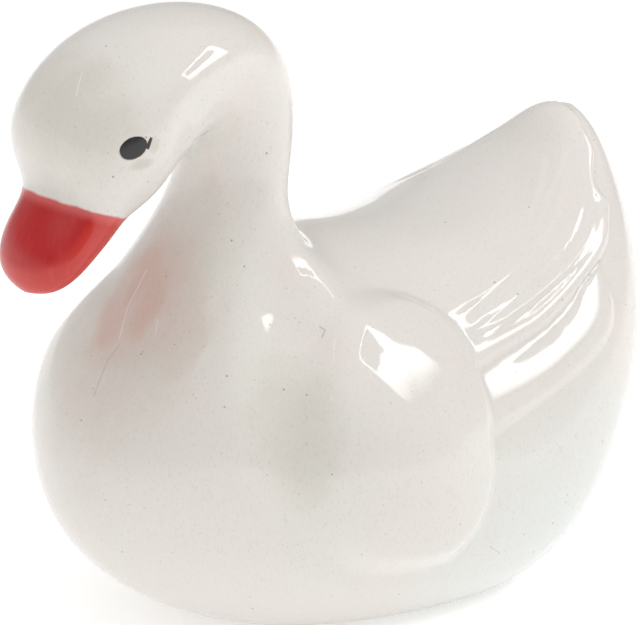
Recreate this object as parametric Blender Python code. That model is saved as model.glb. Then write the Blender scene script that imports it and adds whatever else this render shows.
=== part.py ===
"""Small swan figurine of glazed ceramic, cast in one piece and standing on its flat underside.

The bird faces -X with its left side towards -Y, and rests on z = 0 under the middle of its outline.
Its body is one loft from the tail tip over the back, neck and head to the tip of the bill, between a
back line and an under line. The folded wings are carved on both sides: a domed shoulder of covert
feathers, and behind it two overlapping rows of long feathers that sweep up to the tail. A soft
furrow parts each shoulder from the breast, and another parts the cheek from the neck.
The form's pose and carving are shares of the bird's length. Lengths are in metres.
"""

from typing import NamedTuple

import bmesh
import bpy
import numpy as np

# Overall sizes
LENGTH = 0.0570
WIDTH = 0.0370
HEIGHT = 0.0480

# Heights of the carving over the smooth body, and depths of its furrows
COVERT_RISE = 0.0007
COVERT_CROWN = 0.0014
BREAST_RISE = 0.0007
BREAST_FURROW_DEPTH = 0.0010
CHEEK_FURROW_DEPTH = 0.0006
UPPER_ROW_RISE = 0.00080
LOWER_ROW_RISE = 0.00062
FEATHER_LINE_DEPTH = 0.00008

# How far over the ground the sides start to turn in to the underside, and the painted eye's size
FOOT_TURN = 0.0008
EYE_DIAMETER = 0.0020

# Width and height of the form below, for a length of 1
FORM_WIDTH = 0.646
FORM_HEIGHT = 0.843

# Fineness of the carved surface, and how many triangles are kept of it
ROWS_ALONG = 300
ROWS_AROUND = 240
TRIANGLES_KEPT = 9600

# Steepness left in the sides where they meet the ground, and how near it a corner is moved onto it
TURNED_IN = 0.25
GROUND_HAIR = 0.00005


class Station(NamedTuple):
    """One cross-section: a point on the back line and one on the under line, the half width of the
    oval between them, and how far its widest place lies towards the back line."""

    back_x: float
    back_z: float
    under_x: float
    under_z: float
    half_width: float
    fullness: float


class FeatherRow(NamedTuple):
    """A row of feathers: the chart points of its lower edge, how high it stands, the width of its
    rounded edge, the width over which it sinks back into the body above that edge, the power of
    that sinking, 1 for an even slope and 2 for one that ends level, and the share of its rise and
    rounding that it loses towards the tail."""

    edge: tuple
    rise: float
    rounding: float
    fall: float
    power: int
    taper: float


class Furrow(NamedTuple):
    """A soft furrow: the chart points of its bottom, how deep it is, how far it spreads to the left and
    to the right of that line, and the shares of the line over which it starts and ends."""

    line: tuple
    depth: float
    spread_left: float
    spread_right: float
    start: float
    end: float


# Control sections from the tail tip to the tip of the bill
TAIL = (
    Station(0.466, 0.561, 0.466, 0.561, 0.000, 0.00),
    Station(0.434, 0.576, 0.487, 0.536, 0.039, 0.00),
    Station(0.382, 0.533, 0.502, 0.474, 0.088, 0.00),
    Station(0.308, 0.495, 0.499, 0.386, 0.161, 0.00),
)
BODY = (
    Station(0.217, 0.478, 0.463, 0.260, 0.229, -0.10),
    Station(0.129, 0.480, 0.377, 0.117, 0.275, -0.17),
    Station(0.055, 0.489, 0.276, -0.030, 0.294, -0.20),
    Station(-0.004, 0.499, 0.090, -0.060, 0.301, -0.19),
    Station(-0.048, 0.507, -0.187, -0.020, 0.283, -0.12),
    Station(-0.076, 0.519, -0.370, 0.089, 0.257, -0.04),
    Station(-0.090, 0.547, -0.432, 0.240, 0.186, 0.00),
)
NECK = (
    Station(-0.088, 0.593, -0.329, 0.410, 0.105, 0.00),
    Station(-0.067, 0.653, -0.229, 0.540, 0.082, 0.00),
    Station(-0.064, 0.737, -0.206, 0.614, 0.078, 0.05),
)
HEAD = (
    Station(-0.118, 0.816, -0.222, 0.662, 0.089, 0.10),
    Station(-0.231, 0.851, -0.254, 0.670, 0.112, 0.08),
    Station(-0.356, 0.835, -0.297, 0.638, 0.126, 0.08),
    Station(-0.449, 0.770, -0.328, 0.603, 0.116, 0.10),
    Station(-0.474, 0.705, -0.356, 0.592, 0.092, 0.08),
)
BILL = (
    Station(-0.441, 0.652, -0.380, 0.573, 0.076, 0.00),
    Station(-0.478, 0.617, -0.411, 0.547, 0.072, 0.00),
    Station(-0.503, 0.568, -0.449, 0.525, 0.068, 0.00),
    Station(-0.499, 0.530, -0.477, 0.517, 0.039, 0.00),
    Station(-0.489, 0.519, -0.489, 0.519, 0.000, 0.00),
)
STATIONS = TAIL + BODY + NECK + HEAD + BILL

# The carving is drawn on a chart of the bird's side, as seen from this far above the level: its first
# coordinate runs back along the bird and its second runs up
CHART_TILT = np.radians(35)

# Outline of the shoulder, as its reach at every 30 degrees about its centre from straight back, and
# the width of the slope inside that outline: crisp at the back, soft in front. The slope's height
# grows between two places along the bird
COVERT_CENTRE = (-0.080, 0.060)
COVERT_REACH = (0.130, 0.165, 0.226, 0.235, 0.205, 0.180, 0.175, 0.150, 0.130, 0.128, 0.146, 0.137)
COVERT_SLOPE = (0.020, 0.020, 0.028, 0.050, 0.060, 0.060, 0.050, 0.035, 0.030, 0.030, 0.030, 0.025)
COVERT_GROWS = (-0.30, -0.08)

# Round swelling of the breast beside the neck's foot, and the furrows around it and behind the cheek
BREAST_CENTRE = (-0.290, 0.190)
BREAST_REACH = 0.140
BREAST_FURROW = Furrow(
    line=(
        (-0.130, 0.410),
        (-0.150, 0.362),
        (-0.174, 0.318),
        (-0.200, 0.272),
        (-0.224, 0.222),
        (-0.241, 0.168),
        (-0.246, 0.112),
        (-0.236, 0.055),
        (-0.208, 0.005),
    ),
    depth=BREAST_FURROW_DEPTH,
    spread_left=0.085,
    spread_right=0.065,
    start=0.25,
    end=0.40,
)
CHEEK_FURROW = Furrow(
    line=(
        (-0.335, 0.478),
        (-0.322, 0.508),
        (-0.298, 0.532),
        (-0.256, 0.547),
        (-0.208, 0.557),
        (-0.160, 0.580),
        (-0.120, 0.610),
    ),
    depth=CHEEK_FURROW_DEPTH,
    spread_left=0.050,
    spread_right=0.045,
    start=0.25,
    end=0.45,
)

UPPER_ROW = FeatherRow(
    edge=(
        (0.035, 0.136),
        (0.120, 0.152),
        (0.199, 0.170),
        (0.293, 0.211),
        (0.352, 0.243),
        (0.382, 0.272),
        (0.404, 0.305),
        (0.401, 0.330),
        (0.413, 0.354),
        (0.434, 0.382),
        (0.440, 0.420),
    ),
    rise=UPPER_ROW_RISE,
    rounding=0.028,
    fall=0.150,
    power=2,
    taper=0.7,
)
LOWER_ROW = FeatherRow(
    edge=(
        (0.030, 0.050),
        (0.120, 0.070),
        (0.200, 0.090),
        (0.265, 0.114),
        (0.305, 0.140),
        (0.324, 0.172),
        (0.328, 0.220),
    ),
    rise=LOWER_ROW_RISE,
    rounding=0.050,
    fall=0.072,
    power=1,
    taper=0.3,
)

# Width of the hollow corner under a feather row's edge
FOOT_WIDTH = 0.006

# Lines between the feathers of the upper row, the last two around small feathers near the tail
FEATHER_LINES = (
    ((0.044, 0.216), (0.118, 0.232), (0.194, 0.254), (0.276, 0.286), (0.334, 0.325), (0.387, 0.378)),
    ((0.060, 0.191), (0.130, 0.208), (0.200, 0.228), (0.280, 0.258), (0.330, 0.288), (0.380, 0.334)),
    ((0.060, 0.176), (0.140, 0.192), (0.215, 0.212), (0.290, 0.238), (0.340, 0.266), (0.384, 0.302)),
    ((0.272, 0.316), (0.305, 0.338), (0.338, 0.364), (0.360, 0.386), (0.372, 0.400)),
    ((0.300, 0.322), (0.335, 0.345), (0.370, 0.370), (0.400, 0.398)),
)
LINE_WIDTH = 0.008
LINE_FALL = 0.026

# Painted areas: the bill up to a slanting line through this point, and the eyes
BILL_PAINT_POINT = (-0.457, 0.632)
BILL_PAINT_SLOPE = -0.27
BILL_PAINT_BACK = -0.350
EYE_POINT = (-0.399, 0.716)


def spline_weights(count: int, along: np.ndarray) -> np.ndarray:
    """Weights of the control points of a clamped cubic B-spline, one row for each place along it."""
    degree = 3
    inner = np.linspace(0, 1, count - degree + 1)
    knots = np.concatenate([np.zeros(degree), inner, np.ones(degree)])
    t = np.clip(along, 0, 1 - 1e-9)[:, None]
    weights = ((t >= knots[:-1]) & (t < knots[1:])).astype(float)
    for d in range(1, degree + 1):
        span = knots[d:] - knots[:-d]
        span = np.where(span > 0, span, 1)
        rising = (t - knots[: -d - 1]) / span[:-1]
        falling = (knots[d + 1 :] - t) / span[1:]
        weights = rising * weights[:, :-1] + falling * weights[:, 1:]
    return weights


def smooth_step(t: np.ndarray) -> np.ndarray:
    """Rises from 0 to 1 as t does, with level ends."""
    t = np.clip(t, 0, 1)
    return t * t * (3 - 2 * t)


def between(a, b, c, d, t):
    """Catmull-Rom curve from b to c, with a before b and d after c."""
    return (
        b
        + t * (c - a) / 2
        + t**2 * (a - 2.5 * b + 2 * c - d / 2)
        + t**3 * (1.5 * b - 1.5 * c + (d - a) / 2)
    )


def around_clock(values: tuple, angle: np.ndarray) -> np.ndarray:
    """Smooth closed curve through values given at equal angles."""
    values = np.array(values)
    turn = angle / (2 * np.pi) * len(values)
    first = np.floor(turn).astype(int)
    a, b, c, d = (values[(first + k) % len(values)] for k in (-1, 0, 1, 2))
    return between(a, b, c, d, turn - first)


def through(points: tuple) -> np.ndarray:
    """Smooth open curve through chart points, as a fine polyline."""
    ends = np.array([points[0], *points, points[-1]])
    t = np.linspace(0, 1, 8, endpoint=False)[:, None]
    spans = [between(a, b, c, d, t) for a, b, c, d in zip(ends, ends[1:], ends[2:], ends[3:])]
    return np.concatenate([*spans, ends[-1:]])


def beside(points: tuple, p: np.ndarray, q: np.ndarray) -> tuple:
    """How far each chart place lies to the left of a curve, and which share of the curve it is at."""
    curve = through(points)
    start = curve[:-1]
    run = np.diff(curve, axis=0)
    length = np.hypot(run[:, 0], run[:, 1])
    from_p = p[:, None] - start[:, 0]
    from_q = q[:, None] - start[:, 1]
    t = np.clip((from_p * run[:, 0] + from_q * run[:, 1]) / length**2, 0, 1)
    away = np.hypot(from_p - t * run[:, 0], from_q - t * run[:, 1])
    nearest = away.argmin(axis=1)
    place = np.arange(len(p))
    side = run[nearest, 0] * from_q[place, nearest] - run[nearest, 1] * from_p[place, nearest]
    passed = (np.cumsum(length) - length)[nearest] + t[place, nearest] * length[nearest]
    return away[place, nearest] * np.sign(side), passed / length.sum()


def covert_shoulder(p: np.ndarray, q: np.ndarray) -> tuple:
    """Height of the domed shoulder, and its share of each place: 1 on it and 0 off it."""
    back = p - COVERT_CENTRE[0]
    up = q - COVERT_CENTRE[1]
    angle = np.arctan2(up, back) % (2 * np.pi)
    reach = around_clock(COVERT_REACH, angle)
    away = np.hypot(back, up)
    share = smooth_step((reach - away) / around_clock(COVERT_SLOPE, angle))
    front, rear = COVERT_GROWS
    rise = COVERT_RISE * smooth_step((p - front) / (rear - front))
    return share * rise + COVERT_CROWN * dome(away / reach), share


def dome(share: np.ndarray) -> np.ndarray:
    """A round dome by the share of its reach: 1 in its middle, and 0 and level at its edge."""
    return (1 - np.clip(share, 0, 1) ** 2) ** 1.5


def furrow(cut: Furrow, p: np.ndarray, q: np.ndarray) -> np.ndarray:
    """Depth of a furrow at each chart place, as half a cosine wave to each side."""
    side, passed = beside(cut.line, p, q)
    spread = np.where(side > 0, cut.spread_left, cut.spread_right)
    ends = smooth_step(passed / cut.start) * smooth_step((1 - passed) / cut.end)
    return cut.depth * ends * (1 + np.cos(np.pi * np.clip(side / spread, -1, 1))) / 2


def row_height(row: FeatherRow, side: np.ndarray, passed: np.ndarray) -> np.ndarray:
    """Height of a feather row at a distance above its lower edge and a share along it: it rounds up
    as 1 minus a square does, easing in over its foot, and sinks back from there."""
    left = 1 - row.taper * passed
    rounded = 1 - (1 - np.clip(side / (row.rounding * left), 0, 1)) ** 2
    sunk = (1 - np.clip(side / row.fall, 0, 1)) ** row.power
    return row.rise * left * rounded * sunk * smooth_step(side / FOOT_WIDTH)


def long_feathers(p: np.ndarray, q: np.ndarray) -> np.ndarray:
    """Height of the feather rows, the upper one lying over the lower, and of the lines on them."""
    height = np.zeros(len(p))
    uncovered = np.ones(len(p))
    for row in (UPPER_ROW, LOWER_ROW):
        side, passed = beside(row.edge, p, q)
        height += uncovered * row_height(row, side, passed)
        uncovered *= side < 0
    for points in FEATHER_LINES:
        side, passed = beside(points, p, q)
        ends = smooth_step(passed / 0.12) * smooth_step((1 - passed) / 0.15)
        ridge = smooth_step(side / LINE_WIDTH + 0.5) * (1 - smooth_step(side / LINE_FALL))
        height += FEATHER_LINE_DEPTH * ends * ridge
    return height


def wing_and_breast(p: np.ndarray, q: np.ndarray) -> np.ndarray:
    """Height of the carved wing and breast at each chart place."""
    shoulder, share = covert_shoulder(p, q)
    behind_shoulder = smooth_step((p - 0.01) / 0.03)
    feathers = (1 - share) * behind_shoulder * long_feathers(p, q)
    from_breast = np.hypot(p - BREAST_CENTRE[0], q - BREAST_CENTRE[1]) / BREAST_REACH
    return shoulder + feathers + BREAST_RISE * dome(from_breast) - furrow(BREAST_FURROW, p, q)


def carving(body: np.ndarray) -> np.ndarray:
    """Height of the carving over each point of the smooth body, 0 away from it."""
    x, y, z = np.moveaxis(body, -1, 0)
    q = z * np.cos(CHART_TILT) - np.abs(y) * np.sin(CHART_TILT)
    below_head = (x > -0.45) & (x < 0.47) & (z < 0.60)
    at_cheek = (x < 0) & (z > 0.58)
    height = np.zeros(x.shape)
    height[below_head] = wing_and_breast(x[below_head], q[below_head])
    height[at_cheek] -= furrow(CHEEK_FURROW, x[at_cheek], q[at_cheek])
    return height


def outward(grid: np.ndarray) -> np.ndarray:
    """Unit normals of a grid whose second direction closes on itself."""
    wrapped = np.concatenate([grid[:, -1:], grid, grid[:, :1]], axis=1)
    across = (wrapped[:, 2:] - wrapped[:, :-2]) / 2
    normal = np.cross(np.gradient(grid, axis=0), across)
    size = np.linalg.norm(normal, axis=-1, keepdims=True)
    return normal / np.where(size > 0, size, 1)


def turned_in(z: np.ndarray) -> np.ndarray:
    """Heights with the sides made gradually less steep near the ground, so that they curve in to it."""
    lost = 1 - TURNED_IN
    bend = z + lost * (FOOT_TURN - z) ** 2 / (4 * FOOT_TURN)
    return np.where(z > FOOT_TURN, z, np.where(z < -FOOT_TURN, TURNED_IN * z, bend))


def bird_grid() -> np.ndarray:
    """Carved surface without its two end points, as a grid of places along and around the bird."""
    along = np.linspace(0, 1, ROWS_ALONG + 2)[1:-1]
    around = np.linspace(0, 2 * np.pi, ROWS_AROUND, endpoint=False)
    rails = spline_weights(len(STATIONS), along) @ np.array(STATIONS)
    back_x, back_z, under_x, under_z, half_width, fullness = np.hsplit(rails, 6)
    up = np.cos(around)[None, :]
    x = (back_x + under_x) / 2 + (back_x - under_x) / 2 * up
    z = (back_z + under_z) / 2 + (back_z - under_z) / 2 * up
    y = -half_width * np.sin(around)[None, :] * (1 + fullness * up)
    body = np.stack([x, y, z], axis=-1)
    placed = body * stretch()
    placed = placed + outward(placed) * carving(body)[..., None]
    placed[..., 2] = turned_in(placed[..., 2])
    return placed


def stretch() -> np.ndarray:
    """Metres for each unit of the form, in each direction."""
    return np.array([LENGTH, WIDTH / FORM_WIDTH, HEIGHT / FORM_HEIGHT])


def closed_mesh(grid: np.ndarray) -> bpy.types.Mesh:
    """The grid as a closed skin, its first and last rows drawn together at the tail and bill tips."""
    rows, columns, _ = grid.shape
    tips = np.array([[s.back_x, 0, s.back_z] for s in (STATIONS[0], STATIONS[-1])]) * stretch()
    index = np.arange(rows * columns).reshape(rows, columns)
    beside_index = np.roll(index, -1, axis=1)
    quads = np.stack([index[:-1], index[1:], beside_index[1:], beside_index[:-1]], axis=-1)
    tail, bill = rows * columns, rows * columns + 1
    fans = [(tail, a, b) for a, b in zip(index[0], beside_index[0])]
    fans += [(bill, b, a) for a, b in zip(index[-1], beside_index[-1])]
    mesh = bpy.data.meshes.new("swan")
    mesh.from_pydata([*grid.reshape(-1, 3), *tips], [], [*quads.reshape(-1, 4).tolist(), *fans])
    return mesh


def cut_level(mesh: bpy.types.Mesh) -> None:
    """Cuts off what is under the ground and closes the cut with one flat face."""
    work = bmesh.new()
    work.from_mesh(mesh)
    cut = bmesh.ops.bisect_plane(
        work,
        geom=[*work.verts, *work.edges, *work.faces],
        dist=GROUND_HAIR,
        plane_co=(0, 0, 0),
        plane_no=(0, 0, 1),
        use_snap_center=True,
        clear_inner=True,
    )
    rim = [item for item in cut["geom_cut"] if isinstance(item, bmesh.types.BMEdge)]
    bmesh.ops.contextual_create(work, geom=rim)
    work.to_mesh(mesh)
    work.free()


def thin_out(swan: bpy.types.Object) -> None:
    """Keeps few triangles where the surface is plain and many where it is carved."""
    thinning = swan.modifiers.new("thinning", "DECIMATE")
    thinning.ratio = TRIANGLES_KEPT / (2 * ROWS_ALONG * ROWS_AROUND)
    thinning.use_symmetry = True
    thinning.symmetry_axis = "Y"
    graph = bpy.context.evaluated_depsgraph_get()
    mesh = bpy.data.meshes.new_from_object(swan.evaluated_get(graph))
    swan.modifiers.clear()
    swan.data = mesh


def glaze(name: str, colour: tuple, roughness: float) -> bpy.types.Material:
    """A plain glossy ceramic colour."""
    material = bpy.data.materials.new(name)
    material.use_nodes = True
    shader = material.node_tree.nodes["Principled BSDF"]
    shader.inputs["Base Color"].default_value = (*colour, 1)
    shader.inputs["Roughness"].default_value = roughness
    shader.inputs["Metallic"].default_value = 0
    return material


def paint(mesh: bpy.types.Mesh) -> None:
    """Gives the faces of the bill and the eyes their colours: 1 is the bill's red, 2 the black."""
    centres = np.zeros(len(mesh.polygons) * 3)
    mesh.polygons.foreach_get("center", centres)
    x, y, z = (centres.reshape(-1, 3) / stretch()).T
    point_x, point_z = BILL_PAINT_POINT
    red = (z < point_z + BILL_PAINT_SLOPE * (x - point_x)) & (x < BILL_PAINT_BACK) & (z > 0.5)
    eye_x, eye_z = EYE_POINT
    eye = np.hypot(x - eye_x, z - eye_z) * LENGTH < EYE_DIAMETER / 2
    mesh.polygons.foreach_set("material_index", np.where(eye, 2, np.where(red, 1, 0)))


def build_swan() -> bpy.types.Object:
    """The whole bird, thinned to its triangle budget where the surface is plain."""
    mesh = closed_mesh(bird_grid())
    mesh.materials.append(glaze("white_glaze", (0.80, 0.76, 0.70), 0.10))
    mesh.materials.append(glaze("red_paint", (0.42, 0.02, 0.02), 0.22))
    mesh.materials.append(glaze("black_paint", (0.01, 0.01, 0.012), 0.20))
    paint(mesh)
    mesh.shade_smooth()
    swan = bpy.data.objects.new("swan", mesh)
    bpy.context.scene.collection.objects.link(swan)
    thin_out(swan)
    cut_level(swan.data)
    return swan


def main() -> None:
    """Clears the scene and builds the figurine."""
    for old in list(bpy.data.objects):
        bpy.data.objects.remove(old)
    build_swan()


if __name__ == "__main__":
    main()
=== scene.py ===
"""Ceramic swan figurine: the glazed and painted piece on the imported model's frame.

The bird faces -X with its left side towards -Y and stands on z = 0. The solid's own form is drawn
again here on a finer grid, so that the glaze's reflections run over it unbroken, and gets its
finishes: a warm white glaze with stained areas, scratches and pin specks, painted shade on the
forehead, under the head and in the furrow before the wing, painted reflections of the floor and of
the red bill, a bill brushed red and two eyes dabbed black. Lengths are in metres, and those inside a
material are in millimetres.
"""

import logging
from dataclasses import dataclass, field
from typing import NamedTuple

import bpy
import numpy as np
from mathutils import Matrix, Vector

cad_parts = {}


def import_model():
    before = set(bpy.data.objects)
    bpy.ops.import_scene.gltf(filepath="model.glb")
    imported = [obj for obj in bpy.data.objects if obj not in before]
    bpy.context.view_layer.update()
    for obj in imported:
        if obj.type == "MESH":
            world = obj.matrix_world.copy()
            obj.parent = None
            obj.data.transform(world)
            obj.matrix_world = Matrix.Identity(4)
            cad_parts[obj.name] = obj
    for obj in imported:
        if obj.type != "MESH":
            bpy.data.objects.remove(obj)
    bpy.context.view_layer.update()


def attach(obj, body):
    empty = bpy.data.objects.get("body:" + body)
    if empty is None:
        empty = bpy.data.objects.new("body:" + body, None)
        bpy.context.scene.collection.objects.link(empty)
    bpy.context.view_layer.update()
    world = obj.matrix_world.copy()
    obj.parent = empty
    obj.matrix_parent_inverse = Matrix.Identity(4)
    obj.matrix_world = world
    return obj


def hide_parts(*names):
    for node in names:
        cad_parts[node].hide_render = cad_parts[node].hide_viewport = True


LOG = logging.getLogger("swan")
MM = 0.001

ChartLine = tuple[tuple[float, float], ...]
Spot = tuple[float, float, float]
Colour = tuple[float, float, float, float]


def smooth_step(t: np.ndarray) -> np.ndarray:
    """Eases from 0 to 1 as t does: t squared times (3 - 2 t), level at both ends."""
    t = np.clip(t, 0, 1)
    return t * t * (3 - 2 * t)


def between(a: np.ndarray, b: np.ndarray, c: np.ndarray, d: np.ndarray, t: np.ndarray) -> np.ndarray:
    """Catmull-Rom curve from b to c.

    Args:
        a: The point before b.
        b: Where the span starts.
        c: Where the span ends.
        d: The point after c.
        t: The share of the span, 0 at b and 1 at c.

    Returns:
        The cubic through b and c whose slopes there are half of c - a and of d - b.
    """
    return (
        b
        + t * (c - a) / 2
        + t**2 * (a - 2.5 * b + 2 * c - d / 2)
        + t**3 * (1.5 * b - 1.5 * c + (d - a) / 2)
    )


def around_clock(values: tuple[float, ...], angle: np.ndarray) -> np.ndarray:
    """Smooth closed curve through values given at equal angles.

    Args:
        values: The curve's value at each of the equal angles, from angle 0.
        angle: Where the curve is read, in radians from 0 to a full turn.

    Returns:
        The curve's value at each angle.
    """
    known = np.array(values)
    turn = angle / (2 * np.pi) * len(known)
    first = np.floor(turn).astype(int)
    a, b, c, d = (known[(first + k) % len(known)] for k in (-1, 0, 1, 2))
    return between(a, b, c, d, turn - first)


class Station(NamedTuple):
    """One cross-section: a point on the back line and one on the under line, the half width of the
    oval between them, and how far its widest place lies towards the back line."""

    back_x: float
    back_z: float
    under_x: float
    under_z: float
    half_width: float
    fullness: float


TAIL = (
    Station(0.466, 0.561, 0.466, 0.561, 0.000, 0.00),
    Station(0.434, 0.576, 0.487, 0.536, 0.039, 0.00),
    Station(0.382, 0.533, 0.502, 0.474, 0.088, 0.00),
    Station(0.308, 0.495, 0.499, 0.386, 0.161, 0.00),
)
BODY = (
    Station(0.217, 0.478, 0.463, 0.260, 0.229, -0.10),
    Station(0.129, 0.480, 0.377, 0.117, 0.275, -0.17),
    Station(0.055, 0.489, 0.276, -0.030, 0.294, -0.20),
    Station(-0.004, 0.499, 0.090, -0.060, 0.301, -0.19),
    Station(-0.048, 0.507, -0.187, -0.020, 0.283, -0.12),
    Station(-0.076, 0.519, -0.370, 0.089, 0.257, -0.04),
    Station(-0.090, 0.547, -0.432, 0.240, 0.186, 0.00),
)
NECK = (
    Station(-0.088, 0.593, -0.329, 0.410, 0.105, 0.00),
    Station(-0.067, 0.653, -0.229, 0.540, 0.082, 0.00),
    Station(-0.064, 0.737, -0.206, 0.614, 0.078, 0.05),
)
HEAD = (
    Station(-0.118, 0.816, -0.222, 0.662, 0.089, 0.10),
    Station(-0.231, 0.851, -0.254, 0.670, 0.112, 0.08),
    Station(-0.356, 0.835, -0.297, 0.638, 0.126, 0.08),
    Station(-0.449, 0.770, -0.328, 0.603, 0.116, 0.10),
    Station(-0.474, 0.705, -0.356, 0.592, 0.092, 0.08),
)
BILL = (
    Station(-0.441, 0.652, -0.380, 0.573, 0.076, 0.00),
    Station(-0.478, 0.617, -0.411, 0.547, 0.072, 0.00),
    Station(-0.503, 0.568, -0.449, 0.525, 0.068, 0.00),
    Station(-0.499, 0.530, -0.477, 0.517, 0.039, 0.00),
    Station(-0.489, 0.519, -0.489, 0.519, 0.000, 0.00),
)


@dataclass(frozen=True)
class BodyForm:
    """The smooth bird: one loft from the tail tip over back, neck and head to the tip of the bill.

    The stations are shares of the length; form_width and form_height are the width and the height
    that they give for a length of 1.
    """

    stations: tuple[Station, ...] = TAIL + BODY + NECK + HEAD + BILL
    length: float = 0.0570
    width: float = 0.0370
    height: float = 0.0480
    form_width: float = 0.646
    form_height: float = 0.843
    foot_turn: float = 0.0008
    turned_in: float = 0.25

    def stretch(self) -> np.ndarray:
        """Metres for each unit of the form, in each direction."""
        return np.array([self.length, self.width / self.form_width, self.height / self.form_height])

    def weights(self, along: np.ndarray) -> np.ndarray:
        """Weights of the stations as control points of a clamped cubic B-spline.

        Args:
            along: Places along the bird, 0 at the tail tip and 1 at the tip of the bill.

        Returns:
            One row of weights for each place, by the Cox-de Boor recursion on an even knot line.
        """
        degree = 3
        inner = np.linspace(0, 1, len(self.stations) - degree + 1)
        knots = np.concatenate([np.zeros(degree), inner, np.ones(degree)])
        t = np.clip(along, 0, 1 - 1e-9)[:, None]
        weights = ((t >= knots[:-1]) & (t < knots[1:])).astype(float)
        for d in range(1, degree + 1):
            span = knots[d:] - knots[:-d]
            span = np.where(span > 0, span, 1)
            rising = (t - knots[: -d - 1]) / span[:-1]
            falling = (knots[d + 1 :] - t) / span[1:]
            weights = rising * weights[:, :-1] + falling * weights[:, 1:]
        return weights

    def skin(self, along: np.ndarray, around: np.ndarray) -> np.ndarray:
        """Points of the smooth body, in shares of the length.

        Each section is an oval: its middle line runs from the back point to the under point as the
        cosine of the angle does, and its width is the half width times the sine, made fuller
        towards one of the two points.

        Args:
            along: Places along the bird, 0 to 1.
            around: Angles about the section from the back line, in radians.

        Returns:
            An array of places along, places around, and x, y and z.
        """
        rails = self.weights(along) @ np.array(self.stations)
        back_x, back_z, under_x, under_z, half_width, fullness = np.hsplit(rails, 6)
        up = np.cos(around)[None, :]
        x = (back_x + under_x) / 2 + (back_x - under_x) / 2 * up
        z = (back_z + under_z) / 2 + (back_z - under_z) / 2 * up
        y = -half_width * np.sin(around)[None, :] * (1 + fullness * up)
        return np.stack([x, y, z], axis=-1)

    def on_ground(self, z: np.ndarray) -> np.ndarray:
        """Heights with the sides curved in near the ground and nothing below it.

        The slope falls evenly from 1 at foot_turn over the ground to turned_in as far under it,
        and what is then still under the ground is laid on it.
        """
        lost = 1 - self.turned_in
        bend = z + lost * (self.foot_turn - z) ** 2 / (4 * self.foot_turn)
        low = np.where(z < -self.foot_turn, self.turned_in * z, bend)
        return np.maximum(np.where(z > self.foot_turn, z, low), 0)


@dataclass(frozen=True)
class FeatherRow:
    """A row of feathers: the chart points of its lower edge, how high it stands, the width of its
    rounded edge, the width over which it sinks back into the body above that edge, the power of
    that sinking, 1 for an even slope and 2 for one that ends level, and the share of its rise and
    rounding that it loses towards the tail."""

    edge: ChartLine
    rise: float
    rounding: float
    fall: float
    power: int
    taper: float

    def height(self, side: np.ndarray, passed: np.ndarray, foot: float) -> np.ndarray:
        """Height of the row by the distance above its lower edge.

        It rounds up as 1 minus a square does, easing in over its foot, and sinks back from there.

        Args:
            side: How far each place lies above the lower edge.
            passed: The share of the lower edge that each place is at.
            foot: The width of the hollow corner under the edge.

        Returns:
            The height in metres, 0 below the edge.
        """
        left = 1 - self.taper * passed
        rounded = 1 - (1 - np.clip(side / (self.rounding * left), 0, 1)) ** 2
        sunk = (1 - np.clip(side / self.fall, 0, 1)) ** self.power
        return self.rise * left * rounded * sunk * smooth_step(side / foot)


UPPER_ROW = FeatherRow(
    edge=(
        (0.035, 0.136),
        (0.120, 0.152),
        (0.199, 0.170),
        (0.293, 0.211),
        (0.352, 0.243),
        (0.382, 0.272),
        (0.404, 0.305),
        (0.401, 0.330),
        (0.413, 0.354),
        (0.434, 0.382),
        (0.440, 0.420),
    ),
    rise=0.00080,
    rounding=0.028,
    fall=0.150,
    power=2,
    taper=0.7,
)
LOWER_ROW = FeatherRow(
    edge=(
        (0.030, 0.050),
        (0.120, 0.070),
        (0.200, 0.090),
        (0.265, 0.114),
        (0.305, 0.140),
        (0.324, 0.172),
        (0.328, 0.220),
    ),
    rise=0.00062,
    rounding=0.050,
    fall=0.072,
    power=1,
    taper=0.3,
)
FEATHER_LINES = (
    ((0.044, 0.216), (0.118, 0.232), (0.194, 0.254), (0.276, 0.286), (0.334, 0.325), (0.387, 0.378)),
    ((0.060, 0.191), (0.130, 0.208), (0.200, 0.228), (0.280, 0.258), (0.330, 0.288), (0.380, 0.334)),
    ((0.060, 0.176), (0.140, 0.192), (0.215, 0.212), (0.290, 0.238), (0.340, 0.266), (0.384, 0.302)),
    ((0.272, 0.316), (0.305, 0.338), (0.338, 0.364), (0.360, 0.386), (0.372, 0.400)),
    ((0.300, 0.322), (0.335, 0.345), (0.370, 0.370), (0.400, 0.398)),
)


@dataclass(frozen=True)
class Furrow:
    """A soft furrow: the chart points of its bottom, how deep it is, how far it spreads to the left and
    to the right of that line, and the shares of the line over which it starts and ends."""

    line: ChartLine
    depth: float
    spread_left: float
    spread_right: float
    start: float
    end: float

    def depth_at(self, side: np.ndarray, passed: np.ndarray) -> np.ndarray:
        """Depth of the furrow, as half a cosine wave to each side.

        Args:
            side: How far each place lies to the left of the line.
            passed: The share of the line that each place is at.

        Returns:
            The depth in metres.
        """
        spread = np.where(side > 0, self.spread_left, self.spread_right)
        ends = smooth_step(passed / self.start) * smooth_step((1 - passed) / self.end)
        return self.depth * ends * (1 + np.cos(np.pi * np.clip(side / spread, -1, 1))) / 2


BREAST_FURROW = Furrow(
    line=(
        (-0.130, 0.410),
        (-0.150, 0.362),
        (-0.174, 0.318),
        (-0.200, 0.272),
        (-0.224, 0.222),
        (-0.241, 0.168),
        (-0.246, 0.112),
        (-0.236, 0.055),
        (-0.208, 0.005),
    ),
    depth=0.0010,
    spread_left=0.085,
    spread_right=0.065,
    start=0.25,
    end=0.40,
)
CHEEK_FURROW = Furrow(
    line=(
        (-0.335, 0.478),
        (-0.322, 0.508),
        (-0.298, 0.532),
        (-0.256, 0.547),
        (-0.208, 0.557),
        (-0.160, 0.580),
        (-0.120, 0.610),
    ),
    depth=0.0006,
    spread_left=0.050,
    spread_right=0.045,
    start=0.25,
    end=0.45,
)


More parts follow.
